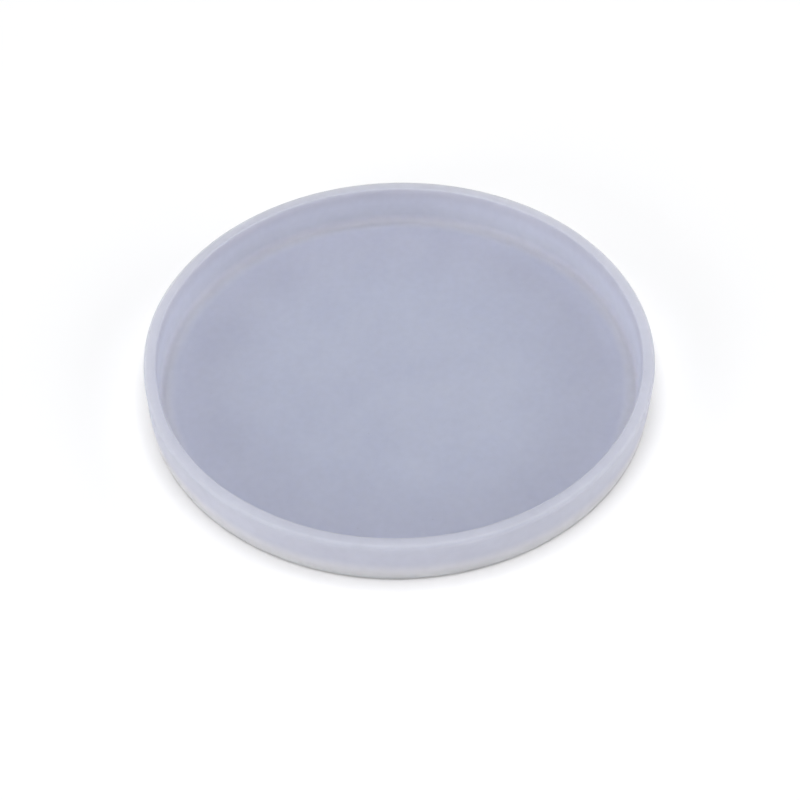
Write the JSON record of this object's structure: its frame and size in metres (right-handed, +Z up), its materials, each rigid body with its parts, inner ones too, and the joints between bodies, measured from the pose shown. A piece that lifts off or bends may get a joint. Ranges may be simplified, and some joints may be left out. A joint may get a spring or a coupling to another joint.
{
  "type": "resin casting mould",
  "caption": "Shallow round open mould of translucent silicone rubber for casting resin coasters, with a flat floor, a low drafted side wall and a flat rim.",
  "frame": {"origin": "centre of the underside, on the face that the mould stands on", "axes": "+Z up out of the open mouth along the axis of the round; the mould is the same all the way round, so +X and +Y are any two directions across it"},
  "size_m": [0.09, 0.09, 0.009],
  "materials": {
    "silicone": "satin translucent"
  },
  "bodies": {
    "root": {"mould_body": "silicone"}
  },
  "joints": []
}
